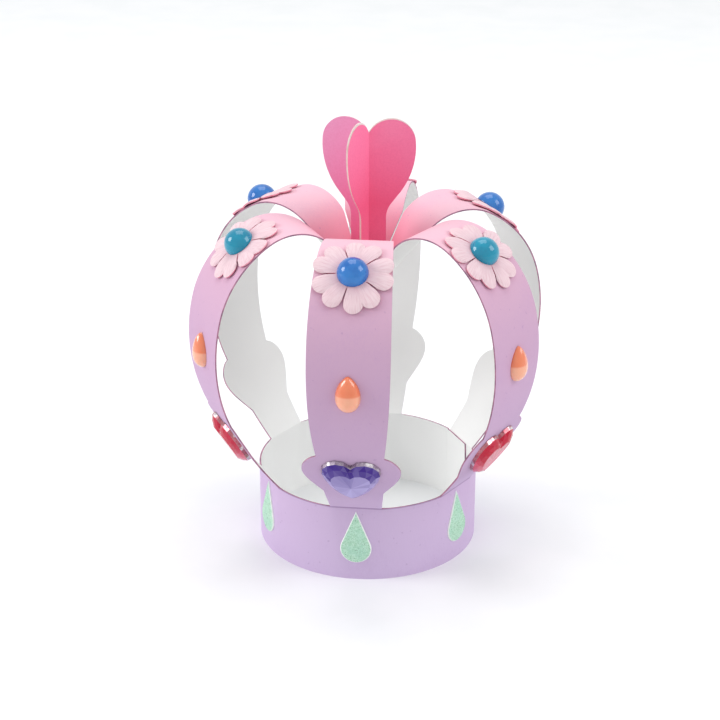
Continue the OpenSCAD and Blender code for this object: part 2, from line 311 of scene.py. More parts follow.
class Finish(Net):
    """A material with one Principled shader."""

    def __init__(self, name):
        self.material = bpy.data.materials.new(name)
        self.material.use_nodes = True
        super().__init__(self.material.node_tree)
        self.shader = self.tree.nodes["Principled BSDF"]
        self.place = self.add("ShaderNodeTexCoord", output="Object")

    def noise(self, scale, detail=2):
        return self.add("ShaderNodeTexNoise", {}, {"Vector": self.place, "Scale": scale, "Detail": detail})

    def between(self, value, low, high):
        """0 below low, 1 above high, and a soft rise between them."""
        return self.add("ShaderNodeMapRange", {"interpolation_type": "SMOOTHSTEP"},
                        {"Value": value, "From Min": low, "From Max": high})

    def mix(self, first, second, share):
        return self.add("ShaderNodeMix", {"data_type": "RGBA"}, {0: share, 6: first, 7: second}, output=2)

    def ramp(self, value, stops):
        return self.add("ShaderNodeValToRGB", {"stops": stops}, {0: value})

    def part(self, vector, axis):
        return self.add("ShaderNodeSeparateXYZ", {}, {0: vector}, output=axis)

    def on_sheet(self, axis):
        """One number of the flat place on the sheet that a piece was cut from."""
        return self.part(self.add("ShaderNodeUVMap", {"uv_map": "sheet"}), axis)

    def bump(self, height, distance, strength):
        return self.add("ShaderNodeBump", {}, {
            "Height": height, "Distance": distance, "Strength": strength})

    def wear(self, **inputs):
        """Sets the shader's sockets. An underscore in a name stands for a space."""
        self.plug(self.shader, {key.replace("_", " "): value for key, value in inputs.items()})
        return self.material

    def paper(self, colour, fibres, rough=0.7, gloss=0.25, relief=0.05 * mm, strength=0.4):
        """A matt finish with the relief of its fibres."""
        return self.wear(Base_Color=colour, Roughness=rough + fibres * 0.2, Specular_IOR_Level=gloss,
                         Normal=self.bump(fibres, relief, strength))


print("white as a linear colour:", ink("FFFFFF"))

# %% [markdown]
# ## Printed card, with painted shade
# The card is printed on one side, lilac at the band and pink at the top, with the faint fibres and specks
# of coloured paper. The print follows the sheet, so it reads the sheet's own map, whose second number is
# the distance from the band's lower edge. The colour is darker over the lower half of the arms, and the deep
# red-pink at the tips is painted shade and painted pink bounce light of the funnel. A thin dark line along
# each fold is painted shade in its crease. The other side is bare, white at the band and a little greyer on
# the arms, where the grey is painted shade. The cut edge is a dusky pink.

# %% Card finishes
# Lilac at the band, darker over the lower half of the arms, pink higher up; the deep red-pink of the last
# stops is painted shade and painted pink bounce light in the funnel
print_and_funnel_shade_stops = {0.0: "D0BADC", 0.15: "CBB3D4", 0.22: "C0A6C7", 0.5: "C7A3C1", 0.66: "D3A9C1",
               0.74: "E8BDCD", 0.83: "EDC0CE", 0.9: "E59CB0", 0.96: "D8728A"}
# The unprinted side greys from the band to the arms: the grey is painted shade
bare_side_shade_stops = {0.0: "FBFBFA", 0.15: "F7F7F6", 0.3: "E9E8E7", 1.0: "E6E5E3"}
sheet_length = band_height + arm_length


def printed_and_shaded_card(name):
    finish = Finish(name)
    along = finish.on_sheet("Y")
    colour = finish.ramp(along / sheet_length, print_and_funnel_shade_stops)
    drawn = finish.add("ShaderNodeVectorMath", {"operation": "MULTIPLY"}, {0: finish.place, 1: (1, 1, 0.35)})
    fibres = finish.add("ShaderNodeTexNoise", {}, {
        "Vector": drawn, "Scale": 1900, "Detail": 4, "Roughness": 0.7})
    clouds = finish.noise(90)
    colour = finish.mix(colour, ink("B48FC0"), (clouds - 0.5) * 0.35 + (fibres - 0.5) * 0.5)
    specks = finish.between(finish.noise(700, 1), 0.72, 0.78)
    colour = finish.mix(colour, ink("9A78A8"), specks * 0.3)
    # A thin dark line along each fold: painted shade in the crease
    from_fold = finish.add("ShaderNodeMath", {"operation": "ABSOLUTE"}, {0: along - band_height})
    fold_crease_shade = 1 - finish.between(from_fold, 0.1 * mm, 0.6 * mm)
    colour = finish.mix(colour, ink("8A6A98"), fold_crease_shade * 0.55)
    return finish.paper(colour, fibres, rough=0.62, gloss=0.3, relief=0.06 * mm, strength=0.5)


def plain_card(name, light, dark, fibre_scale=1600):
    """Unprinted paper: two close tones mixed by its fibres."""
    finish = Finish(name)
    fibres = finish.noise(fibre_scale, 4)
    colour = finish.mix(ink(light), ink(dark), finish.between(fibres, 0.3, 0.75))
    return finish.paper(colour, fibres)


def bare_card(name):
    """The sheet's unprinted side: clean white at the band, a little greyer on the arms, where the grey is
    painted shade.
    """
    finish = Finish(name)
    fibres = finish.noise(1600, 4)
    colour = finish.ramp(finish.on_sheet("Y") / sheet_length + (fibres - 0.5) * 0.02, bare_side_shade_stops)
    return finish.paper(colour, fibres)


lilac_face = printed_and_shaded_card("lilac_card_face")
white_back = bare_card("white_card_back")
cut_edge = plain_card("card_cut_edge", "BC839C", "86617A", 300)
print("card finishes:", lilac_face.name, white_back.name, cut_edge.name)

# %% [markdown]
# ## From rules to plain meshes
# Modifiers and Geometry Nodes describe a shape by rules. The finished piece should be a plain mesh, so
# `settle` takes the evaluated mesh, removes the modifiers and keeps the result. A piece sits at the origin
# and its place is in its mesh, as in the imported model. Edges that turn more than 30 degrees stay sharp, all
# others are shaded smooth.

# %% Helpers for meshes


def new_object(name, data):
    """An object in the scene that shows a mesh, a lamp or a camera."""
    shown = bpy.data.objects.new(name, data)
    bpy.context.scene.collection.objects.link(shown)
    return shown


def set_materials(piece, materials):
    """Gives a piece its materials in order."""
    piece.data.materials.clear()
    for material in materials:
        piece.data.materials.append(material)


def new_piece(name, points, faces, materials):
    """An object from points and faces, with its materials in order."""
    mesh = bpy.data.meshes.new(name)
    mesh.from_pydata(points, [], faces)
    piece = new_object(name, mesh)
    set_materials(piece, materials)
    return piece


def settle(piece, sharp_angle=30):
    """Turns a piece and its modifiers into a plain mesh."""
    depsgraph = bpy.context.evaluated_depsgraph_get()
    evaluated = piece.evaluated_get(depsgraph)
    mesh = bpy.data.meshes.new_from_object(evaluated, preserve_all_data_layers=True, depsgraph=depsgraph)
    piece.modifiers.clear()
    piece.data = mesh
    mesh.polygons.foreach_set("use_smooth", [True] * len(mesh.polygons))
    mesh.set_sharp_from_angle(angle=math.radians(sharp_angle))
    return piece


def grid_faces(rows, columns):
    """Faces of a grid of points that is listed row by row."""
    return [(r * columns + c, r * columns + c + 1, (r + 1) * columns + c + 1, (r + 1) * columns + c)
            for r in range(rows - 1) for c in range(columns - 1)]


def map_sheet(piece, places):
    """Gives each corner of a piece the flat place of its point."""
    layer = piece.data.uv_layers.new(name="sheet")
    for loop in piece.data.loops:
        layer.data[loop.index].uv = places[loop.vertex_index]


def thicken(piece, thickness):
    """Paper thickness behind the sheet's face: second material on the back, third on the edge."""
    solid = piece.modifiers.new("thickness", "SOLIDIFY")
    solid.thickness = thickness
    solid.offset = -1
    solid.use_even_offset = True
    solid.use_quality_normals = True
    solid.material_offset = 1
    solid.material_offset_rim = 2


card_materials = [lilac_face, white_back, cut_edge]
print("finishes of the sheet:", len(card_materials))

# %% [markdown]
# ## The sheet of the crown
# The real body is one die-cut sheet. The band is a strip that starts with the glue tab, steps out over the
# lap and goes round. Its bottom edge is a circle. Below each arm it is flat, because the score line is
# straight, and the flat narrows down almost to nothing at the bottom. One arm is a grid that follows the
# bend and the outline. A Geometry Nodes tree sets the six arms round the band and joins all to one sheet,
# and Solidify gives it the thickness of the card, its white back and its cut edge.

# %% The strip of the band
columns = 14
band_rows = 9
arc_columns = 9
tab_width = 15 * mm
tab_past_seam = 2 * mm
seam_at = 0.2 * mm
tab_columns = 6
tab_depth = card_thick * 1.04
seam_arm = sides.index("back_right")
half_flat = math.asin(foot_width / 2 / band_radius)
flat_past = 3 * card_thick
flat_lean = math.atan2(band_radius - fold_radius, band_height + flat_past)


def band_point(column, height):
    """A point of the band: on the flat below an arm or on the round, whichever is further in."""
    angle, across, inset = column
    flat = fold_radius + (band_height - height) * math.tan(flat_lean)
    reach = min(flat, math.sqrt(band_radius ** 2 - across ** 2)) - inset
    x = reach * math.cos(angle) - across * math.sin(angle)
    y = reach * math.sin(angle) + across * math.cos(angle)
    return x, y, height


seam_angle = arm_angle(seam_arm)
tab_end = foot_width / 2 + 2 * seam_at
tab_step = (tab_width - tab_past_seam) / tab_columns
plan = [(seam_angle, tab_end - tab_step * (tab_columns - i), tab_depth) for i in range(tab_columns + 1)]
lap_turn = math.radians(2)
for step in range(len(sides)):
    angle = seam_angle + arm_step * step
    start = half_flat + (lap_turn if step == 0 else 0)
    end = arm_step - half_flat
    for i in range(0 if step == 0 else 1, arc_columns):
        turn = start + (end - start) * i / arc_columns
        near = 0 if turn < arm_step / 2 else arm_step
        plan.append((angle + near, band_radius * math.sin(turn - near), 0))
    plan += [(angle + arm_step, foot_width * (c / columns - 0.5), 0) for c in range(columns + 1)]
plan.append((seam_angle, foot_width / 2 + seam_at, 0))
print("columns of the band:", len(plan))

# %% The band as a grid
travel = [0.0]
edge = [band_point(column, 0) for column in plan]
for first, second in zip(edge, edge[1:]):
    travel.append(travel[-1] + math.dist(first, second))
band_points = []
band_places = []
for row in range(band_rows):
    height = band_height * row / (band_rows - 1)
    band_points += [band_point(column, height) for column in plan]
    band_places += [(run, height) for run in travel]
crown_card = new_piece("crown_card", band_points, grid_faces(band_rows, len(plan)), card_materials)
map_sheet(crown_card, band_places)
print("length of the strip, mm:", round(travel[-1] / mm, 1))

# %% One arm as a grid
row_step = 0.8 * mm
marks = [0, foot_length, lobe_end, arm_length - tip_round, arm_length]
stations = [0.0]
for low, high in zip(marks, marks[1:]):
    count = math.ceil((high - low) / row_step)
    stations += [low + (high - low) * i / count for i in range(1, count + 1)]
arm_points = []
arm_places = []
for distance in stations:
    for column in range(columns + 1):
        across = arm_half(distance) * (2 * column / columns - 1)
        radius, height = card_point(distance, across)
        arm_points.append((radius, across, height))
        arm_places.append((across, band_height + distance))
arm_sheet = new_piece("arm_sheet", arm_points, grid_faces(len(stations), columns + 1), card_materials)
map_sheet(arm_sheet, arm_places)
print("rows of an arm:", len(stations))

# %% [markdown]
# ### A rule that repeats a shape round the axis
# The tree takes one object and sets copies of it round the Z axis at even steps, joins them to the mesh
# that carries the modifier, and welds points that meet. It serves the six arms here and the petals of a
# flower later.

# %% Rule: copies round the axis


def new_rule(name, sockets):
    """A Geometry Nodes tree with named inputs. Returns its net, its inputs and their identifiers."""
    tree = bpy.data.node_groups.new(name, "GeometryNodeTree")
    tree.is_modifier = True
    tree.interface.new_socket("Geometry", in_out="INPUT", socket_type="NodeSocketGeometry")
    tree.interface.new_socket("Geometry", in_out="OUTPUT", socket_type="NodeSocketGeometry")
    named = {key: tree.interface.new_socket(key, in_out="INPUT", socket_type=kind).identifier
             for key, kind in sockets.items()}
    net = Net(tree)
    given = tree.nodes.new("NodeGroupInput")
    return net, {key: Wire(net, given.outputs[key]) for key in ["Geometry", *named]}, named


def end_rule(net, geometry, material, chosen=True):
    """Ends a tree in plain geometry, with the material on all its faces or on the chosen ones."""
    plain = net.add("GeometryNodeRealizeInstances", {}, {0: geometry})
    dressed = net.add("GeometryNodeSetMaterial", {}, {
        "Geometry": plain, "Material": material, "Selection": chosen})
    net.plug(net.tree.nodes.new("NodeGroupOutput"), {0: dressed})


def use_rule(piece, tree, named, values):
    """Adds the tree as a modifier and sets its inputs by their identifiers."""
    modifier = piece.modifiers.new(tree.name, "NODES")
    modifier.node_group = tree
    for key, value in values.items():
        modifier[named[key]] = value


def ring_rule():
    net, wire, named = new_rule("copies_round_the_axis", {
        "Shape": "NodeSocketObject", "Count": "NodeSocketInt", "First Angle": "NodeSocketFloat",
        "Weld": "NodeSocketFloat", "Finish": "NodeSocketMaterial"})
    shape = net.add("GeometryNodeObjectInfo", {}, {"Object": wire["Shape"]}, output="Geometry")
    angle = wire["First Angle"] + net.add("GeometryNodeInputIndex") * (2 * math.pi) / wire["Count"]
    spin = net.add("ShaderNodeCombineXYZ", {}, {"Z": angle})
    turn = net.add("FunctionNodeEulerToRotation", {}, {0: spin})
    copies = net.add("GeometryNodeInstanceOnPoints", {}, {
        "Points": net.add("GeometryNodePoints", {}, {"Count": wire["Count"]}),
        "Instance": shape, "Rotation": turn})
    plain = net.add("GeometryNodeRealizeInstances", {}, {0: copies})
    joined = net.add("GeometryNodeJoinGeometry", {}, {0: [wire["Geometry"], plain]})
    welded = net.add("GeometryNodeMergeByDistance", {}, {"Geometry": joined, "Distance": wire["Weld"]})
    end_rule(net, welded, wire["Finish"])
    return net.tree, named


ring_tree, ring_inputs = ring_rule()
print("inputs of the rule:", list(ring_inputs))

# %% The crown in one sheet


def drop_object(piece):
    """Removes a pattern shape once it is used."""
    bpy.data.meshes.remove(piece.data)


weld = 0.02 * mm
use_rule(crown_card, ring_tree, ring_inputs, {
    "Shape": arm_sheet, "Count": len(sides), "First Angle": seam_angle, "Weld": weld, "Finish": lilac_face})
settle(crown_card)
drop_object(arm_sheet)
set_materials(crown_card, card_materials)
thicken(crown_card, card_thick)
settle(crown_card)


def place_piece(piece, node):
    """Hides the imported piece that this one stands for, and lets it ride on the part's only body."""
    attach(piece, "root")
    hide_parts(node)


place_piece(crown_card, "crown_body")
print("faces of the crown:", len(crown_card.data.polygons))

# %% [markdown]
# ## The folded hearts
# Three card hearts with a stem are folded along the middle and glued half to half, so three wings stand
# round one crease. The outline is arcs: a lobe, a long side, a waist and the stem. The sheet is drawn on
# the glue side, where the wings meet, and its thickness grows into the fold, so the faces that show are
# pink and the edges white, with a tan-pink tone that is partly painted shade. The left heart gets a paler
# pink: painted light, because its wing faces the brighter lamp.

# %% Outline of half a heart
heart_thick = 0.3 * mm
heart_width = 30.8 * mm
heart_length = 47.8 * mm
lobe_radius = heart_width * 0.26
side_radius = 25 * mm
side_taper = math.radians(38)
side_start = math.radians(5)
waist_radius = 8 * mm
stem_width = 11.6 * mm
wing_turn = math.radians(20)
stem_clear = 0.05 * mm
heart_slip = 0.3 * mm


def arc(middle, radius, start, end, count):
    """Points of an arc from its start angle to its end angle."""
    turns = [start + (end - start) * i / count for i in range(count + 1)]
    return [(middle[0] + radius * math.cos(a), middle[1] + radius * math.sin(a)) for a in turns]


lobe_x = heart_width / 2 - side_radius + (side_radius - lobe_radius) * math.cos(side_start)
lobe_y = -math.sqrt(lobe_radius ** 2 - lobe_x ** 2)
cleft_angle = math.pi - math.acos(lobe_x / lobe_radius)
side_x = lobe_x + (lobe_radius - side_radius) * math.cos(side_start)
side_y = lobe_y + (lobe_radius - side_radius) * math.sin(side_start)
side_end = (side_x + side_radius * math.cos(side_taper), side_y - side_radius * math.sin(side_taper))
waist_x = stem_width / 2 + waist_radius
waist_run = (side_end[0] - waist_x + waist_radius * math.cos(side_taper)) / math.sin(side_taper)
waist_y = side_end[1] - waist_run * math.cos(side_taper) - waist_radius * math.sin(side_taper)
half_heart = (arc((lobe_x, lobe_y), lobe_radius, cleft_angle, side_start, 40)
              + arc((side_x, side_y), side_radius, side_start, -side_taper, 14)[1:]
              + arc((waist_x, waist_y), waist_radius, math.pi - side_taper, math.pi, 12)
              + [(stem_width / 2, -heart_length), (0, -heart_length)])
print("points of half a heart:", len(half_heart))

# %% Pink card


def pink_card(name, low, middle, top):
    """Pink card whose tone changes from the stem to the lobes; its lighter stem end is painted light against
    the funnel's shade.
    """
    finish = Finish(name)
    height = finish.part(finish.place, "Z")
    fibres = finish.noise(1700, 4)
    colour = finish.ramp(finish.between(height, 95 * mm, 147 * mm), {0.0: low, 0.45: middle, 1.0: top})
    colour = finish.mix(colour, ink("C93F6C"), (fibres - 0.35) * 0.35)
    colour = finish.mix(colour, ink("F6A3C0"), finish.between(finish.noise(60), 0.5, 0.8) * 0.15)
    return finish.paper(colour, fibres, rough=0.6, gloss=0.3, relief=0.06 * mm, strength=0.5)


heart_back_white = plain_card("heart_glue_side", "EFE6E6", "E2D6D8")
heart_pink = pink_card("pink_card_face", "F07CA3", "F2658F", "F97DA7")
# The paler pink is painted light: the left wing faces the brighter lamp
heart_lit_pink = pink_card("pale_pink_card_face", "F07CA3", "EE84B0", "ED9DC4")
# White cut edge with a tan-pink tone that is partly painted shade on the edges of the wings
heart_edge_and_shade = plain_card("heart_cut_edge", "EAD3CD", "DDB9B2", 500)
print("heart finishes:", heart_pink.name, heart_lit_pink.name, heart_back_white.name, heart_edge_and_shade.name)

# %% Three folded hearts
stem_radius = stem_width / 2 * math.cos(wing_turn) + heart_thick * math.sin(wing_turn) + stem_clear
stem_height = bent_end[1] + (stem_radius - bent_end[0]) / math.tan(bent_end[2])
wing_right = arm_angle(sides.index("back_right")) - wing_turn
wing_left = arm_angle(sides.index("back_left")) + wing_turn
wing_front = arm_angle(sides.index("front")) - wing_turn
hearts = {"front": (wing_front, wing_right + 2 * math.pi, 0),
          "back": (wing_right, wing_left, heart_slip),
          "left": (wing_left, wing_front, 2 * heart_slip)}


def wing_point(point, angle, lift):
    height = stem_height + heart_length + lift + point[1]
    return (point[0] * math.cos(angle), point[0] * math.sin(angle), height)


def folded_heart(name, first, second, lift, face):
    points = [wing_point(p, first, lift) for p in half_heart]
    points += [wing_point(p, second, lift) for p in half_heart[1:-1]]
    count = len(half_heart)
    first_wing = list(range(count - 1, -1, -1))
    second_wing = [0, *range(count, len(points)), count - 1]
    piece = new_piece("folded_heart_" + name, points, [first_wing, second_wing],
                      [heart_back_white, face, heart_edge_and_shade])
    thicken(piece, heart_thick)
    settle(piece)
    place_piece(piece, "heart_" + name)
    return piece


for name, (first, second, lift) in hearts.items():
    piece = folded_heart(name, first, second, lift, heart_lit_pink if name == "left" else heart_pink)
    print(piece.name, "faces:", len(piece.data.polygons))

# %% [markdown]
# ## Paper flowers
# A punch cuts five petals with two round ends each, and an embossing tool puffs them up and draws veins. A
# petal is a fan of points round the flower's middle: its edge is the far side of two circles, its height
# swells over each end and sinks at the rim. The ring rule sets five of them round the middle. The flat
# flower is then carried along the bend of the arm, so it hugs the card above and below the pearl.

# %% Veined petal paper


def petal_paper(name):
    """Paper with veins: noise that is stretched from the flower's middle to the petal's edge."""
    finish = Finish(name)
    reach = finish.on_sheet("Y")
    stretched = finish.add("ShaderNodeCombineXYZ", {}, {
        "X": finish.on_sheet("X") * 16, "Y": reach * 2.2, "Z": finish.noise(40) * 3})
    streaks = finish.add("ShaderNodeTexNoise", {}, {"Vector": stretched, "Scale": 1.6, "Detail": 3})
    fibres = finish.noise(1500, 3)
    colour = finish.mix(ink("E9CFD5"), ink("DCB6C0"), finish.between(streaks, 0.35, 0.75) * 0.8)
    colour = finish.mix(colour, ink("D9A3B0"), (1 - finish.between(reach, 0.3, 0.62)) * 0.5)
    height = streaks * 0.7 + fibres * 0.3
    return finish.wear(Base_Color=colour, Roughness=0.72 + fibres * 0.15, Specular_IOR_Level=0.25,
                       Normal=finish.bump(height, 0.22 * mm, 0.55))


petal_face = petal_paper("petal_paper_face")
# The deep pink of the petals' back and edge is partly the paper's own and partly painted light: pink light
# that shines through the thin petals into the gaps below them
petal_back = plain_card("petal_paper_back", "EE8FA6", "E8718F", 700)
petal_edge = plain_card("petal_paper_edge", "F2AFBF", "EA8AA2", 700)
print("petal finishes:", petal_face.name, petal_back.name, petal_edge.name)

# %% One petal
flower_radius = 13 * mm
petal_end_radius = 3.1 * mm
petal_split = math.radians(16)
petal_rise = 0.65 * mm
petal_thick = 0.5 * mm
petal_puff = 0.32 * mm
petal_dip = 0.12 * mm
rim_sink = 0.4 * mm
petal_count = 5
flower_turn = math.radians(3)
pearl_radius = 5 * mm
hub_radius = pearl_radius + 0.3 * mm
hub_height = petal_rise + 0.6 * mm
end_reach = flower_radius - petal_end_radius
petal_half_turn = petal_split + math.asin(petal_end_radius / end_reach)


def petal_edge_at(turn):
    """Distance of the petal's edge from the flower's middle."""
    off = abs(turn) - petal_split
    swing = petal_end_radius ** 2 - (end_reach * math.sin(off)) ** 2
    return end_reach * math.cos(off) + math.sqrt(max(swing, 0))


def petal_height(turn, reach, share):
    """Height of the petal's face above the card: puffed ends and a rim that sinks."""
    out = smooth_step(hub_radius, hub_radius * 1.5, reach)
    lobe = 1 - ((abs(turn) - petal_split) / (petal_half_turn - petal_split)) ** 2
    rim = smooth_step(0.8, 1.0, share)
    return hub_height + out * (petal_puff * lobe - petal_dip - rim_sink * rim)


petal_columns = 33
petal_rows = 15
petal_start = hub_radius * 0.75
petal_points = []
petal_places = []
for row in range(petal_rows):
    share = row / (petal_rows - 1)
    for column in range(petal_columns):
        turn = petal_half_turn * (2 * column / (petal_columns - 1) - 1)
        reach = petal_start + (petal_edge_at(turn) - petal_start) * share
        height = petal_height(turn, reach, share)
        petal_points.append((reach * math.cos(turn), reach * math.sin(turn), height))
        petal_places.append((turn / petal_half_turn, reach / flower_radius))
petal_materials = [petal_face, petal_back, petal_edge]
petal_sheet = new_piece("petal_sheet", petal_points,
                        [face[::-1] for face in grid_faces(petal_rows, petal_columns)], petal_materials)
map_sheet(petal_sheet, petal_places)
print("points of a petal:", len(petal_points))

# %% A flower from five petals
hub_columns = 40
hub_shoulder = hub_height * 0.97
hub_tip = 0.001 * mm
hub_share = 0.35


def along_bend(point):
    """A point of the flat flower carried along the bend of the arm, in the frame of its seat."""
    x, y, z = point
    middle, length, width = flower_seat
    if abs(y) <= length / 2:
        return x, y, z
    seat_radius, seat_height, seat_lean = seat_line(flower_seat)
    radius, height, lean = arm_at(middle + y)
    away = (radius - seat_radius, height - seat_height)
    up = away[0] * math.sin(seat_lean) + away[1] * math.cos(seat_lean)
    out = away[0] * math.cos(seat_lean) - away[1] * math.sin(seat_lean)
    turn = lean - seat_lean
    return x, up - z * math.sin(turn), out + z * math.cos(turn)


def flower_pattern():
    """A flower in its own frame: hub and petals."""
    rims = [(hub_radius, 0.0), (hub_radius, hub_shoulder), (hub_tip, hub_height)]
    points = [(r * math.cos(a), r * math.sin(a), z) for r, z in rims
              for a in [2 * math.pi * i / hub_columns for i in range(hub_columns + 1)]]
    hub = new_piece("paper_flower", points, grid_faces(len(rims), hub_columns + 1), petal_materials)
    map_sheet(hub, [(0, hub_share)] * len(points))
    use_rule(hub, ring_tree, ring_inputs, {
        "Shape": petal_sheet, "Count": petal_count, "First Angle": flower_turn, "Weld": weld,
        "Finish": petal_face})
    settle(hub)
    set_materials(hub, petal_materials)
    thicken(hub, petal_thick)
    settle(hub, sharp_angle=50)
    for vertex in hub.data.vertices:
        vertex.co = along_bend(vertex.co)
    return hub


flower = flower_pattern()
drop_object(petal_sheet)
for index, side in enumerate(sides):
    piece = new_object("paper_flower_" + side, flower.data.copy())
    piece.data.transform(seat_matrix(index, flower_seat))
    place_piece(piece, "flower_" + side)
print("faces of a flower:", len(flower.data.polygons))
drop_object(flower)

# %% [markdown]
# ## Half pearls
# Each flower has a flat-backed dome of pearly acrylic, blue and teal by turns. The dome is turned like a
# bowl on a lathe: a short wall with a softened foot, then a quarter circle. A clear coat gives the shine,
# and slow clouds of a second tone lie in the colour.

# %% Pearl finish


def pearl(name, deep, light):
    """Glossy acrylic with clouds of a second tone."""
    finish = Finish(name)
    clouds = finish.noise(150, 3)
    colour = finish.mix(ink(deep), ink(light), finish.between(clouds, 0.3, 0.75))
    return finish.wear(Base_Color=colour, Roughness=0.2 + clouds * 0.08, Coat_Weight=1.0,
                       Coat_Roughness=0.02, Specular_IOR_Level=0.03)


pearl_finishes = {"pearl_blue": pearl("pearl_blue_acrylic", "0A5CAE", "2C7CC8"),
                  "pearl_teal": pearl("pearl_teal_acrylic", "007E9E", "0096B4")}
print("pearl finishes:", list(pearl_finishes))

# %% Turned pieces


def turned_points(profile, count):
    """Points of a profile of radius and height turned round the Z axis."""
    return [(r * math.cos(2 * math.pi * i / count), r * math.sin(2 * math.pi * i / count), z)
            for r, z in profile for i in range(count)]


def ring_faces(rings, count):
    """Faces between closed rings of points, with a lid on the last and a floor on the first."""
    faces = [(r + i, r + (i + 1) % count, r + count + (i + 1) % count, r + count + i)
             for r in range(0, (rings - 1) * count, count) for i in range(count)]
    floor = tuple(range(count - 1, -1, -1))
    lid = tuple((rings - 1) * count + i for i in range(count))
    return [floor, *faces, lid]


pearl_sides = 72
pearl_foot = [(pearl_radius * 0.965, 0.0), (pearl_radius * 0.99, 0.06 * mm)]
pearl_profile = pearl_foot + arc((0, 0), pearl_radius, math.radians(4), math.radians(89.6), 24)
for index, side in enumerate(sides):
    slot = ["pearl_blue", "pearl_teal"][index % 2]
    piece = new_piece("half_pearl_" + side, turned_points(pearl_profile, pearl_sides),
                      ring_faces(len(pearl_profile), pearl_sides), [pearl_finishes[slot]])
    piece.data.transform(seat_matrix(index, flower_seat) @ Matrix.Translation((0, 0, hub_height)))
    place_piece(settle(piece), "pearl_" + side)
print("points of a pearl:", len(piece.data.vertices))

# %% [markdown]
# ## Drop cabochons
# The orange drops are flat-backed domes too. Their outline is round below and pointed above, by one
# formula, and each ring of the dome is a smaller copy of it. The acrylic is clear orange, and the paler
# lower half is a painted reflection with a soft line at its top.

# %% Cabochon finish and shape


def cabochon(name, deep, reflection_tone, middle):
    """Clear orange in the upper half of the drop and a paler painted reflection below, with a soft line
    between them.
    """
    finish = Finish(name)
    clouds = finish.noise(220, 3)
    upper = finish.between(finish.part(finish.place, "Z"), middle - 0.4 * mm, middle + 0.4 * mm)
    colour = finish.mix(ink(reflection_tone), ink(deep), upper * 0.8 + clouds * 0.2)
    return finish.wear(Base_Color=colour, Roughness=0.25 + clouds * 0.1, Coat_Weight=1.0,
                       Coat_Roughness=0.04, Specular_IOR_Level=0.6, Subsurface_Weight=0.2,
                       Subsurface_Scale=2 * mm)


drop_middle = seat_line(drop_seat)[1]
orange_drop = cabochon("drop_orange_acrylic", "E87440", "F2A986", drop_middle)
drop_width = 8 * mm
drop_length = 12 * mm
drop_height = 3.2 * mm
drop_fullness = 0.565
drop_point_power = 0.4
drop_sag = 0.12
drop_sides = 72
drop_rings = 16


def drop_point(turn, size):
    """A point of the outline, round below and pointed above."""
    swell = math.sin(turn) * abs(math.sin(turn / 2)) ** drop_point_power
    return -size * drop_width * drop_fullness * swell, size * drop_length / 2 * math.cos(turn)


def drop_ring(rise):
    """One ring of the dome: smaller and lower on the drop as it rises."""
    size = math.cos(rise)
    shift = -drop_length * drop_sag * (1 - size)
    outline = [drop_point(2 * math.pi * (i + 0.5) / drop_sides, size) for i in range(drop_sides)]
    return [(x, y + shift, drop_height * math.sin(rise)) for x, y in outline]


dome_top = math.radians(89)
drop_points = [p for i in range(drop_rings + 1) for p in drop_ring(dome_top * i / drop_rings)]
drop_faces = ring_faces(drop_rings + 1, drop_sides)
for index, side in enumerate(sides):
    piece = new_piece("cabochon_" + side, drop_points, drop_faces, [orange_drop])
    piece.data.transform(seat_matrix(index, drop_seat))
    place_piece(settle(piece), "drop_" + side)
print("points of a cabochon:", len(drop_points))

# %% [markdown]
# ## Heart gems
# The gems are cut acrylic with a silver foil behind. The foil shows as a bright wall round the edge. Light
# that enters from above leaves through the lower facets, so the upper ones look deep and the lower ones
# pale. The flat table shows the facets of the back through it, so it is a fan of uneven tones. Each facet
# keeps one tone, which is stored on its face and read by the finish.

# %% Gem finish


def gem_glass(name, deep, pale):
    """Clear acrylic between a deep and a pale tone, as each facet says."""
    finish = Finish(name)
    tone = finish.add("ShaderNodeAttribute", {"attribute_name": "facet_tone"}, output="Fac")
    shimmer = finish.noise(260, 2)
    colour = finish.ramp(tone + (shimmer - 0.5) * 0.12, {0.0: deep, 1.0: pale})
    return finish.wear(Base_Color=colour, Roughness=0.16 + shimmer * 0.06, Coat_Weight=0.25,
                       Coat_Roughness=0.02, Specular_IOR_Level=0.15)


def foil(name, tint, bare):
    """Silver foil that takes the gem's tint in patches. More of it stays bare where bare is higher."""
    finish = Finish(name)
    creases_and_reflections = finish.noise(900, 2)
    patches = finish.between(finish.noise(230, 1), bare, bare + 0.14)
    # The darker grey patches are painted reflection: the crumpled foil mirrors dark surroundings there
    colour = finish.mix(ink("E9E6E6"), ink("A79FA5"), finish.between(creases_and_reflections, 0.4, 0.7))
    colour = finish.mix(colour, ink(tint), patches * 0.8)
    return finish.wear(Base_Color=colour, Metallic=0.9, Roughness=0.18 + creases_and_reflections * 0.2)


gem_finishes = {"gem_purple": [gem_glass("gem_purple_acrylic", "3A1B82", "B4A8DA"),
                               foil("violet_foil", "8D7B92", 0.4)],
                "gem_red": [gem_glass("gem_red_acrylic", "B8022B", "DC5A78"),
                            foil("rosy_foil", "A32A42", 0.3)]}
print("gem finishes:", list(gem_finishes))

# %% Cut of a gem
gem_width = 19.4 * mm
gem_length = 20 * mm
gem_height = 3.4 * mm
gem_sides = 20
# Share of the outline, share of the height and shift round the outline, level by level
gem_cut = [(1.0, 0.0, 0), (0.97, 0.36, 0), (0.84, 0.72, 0.5), (0.66, 1.0, 0)]


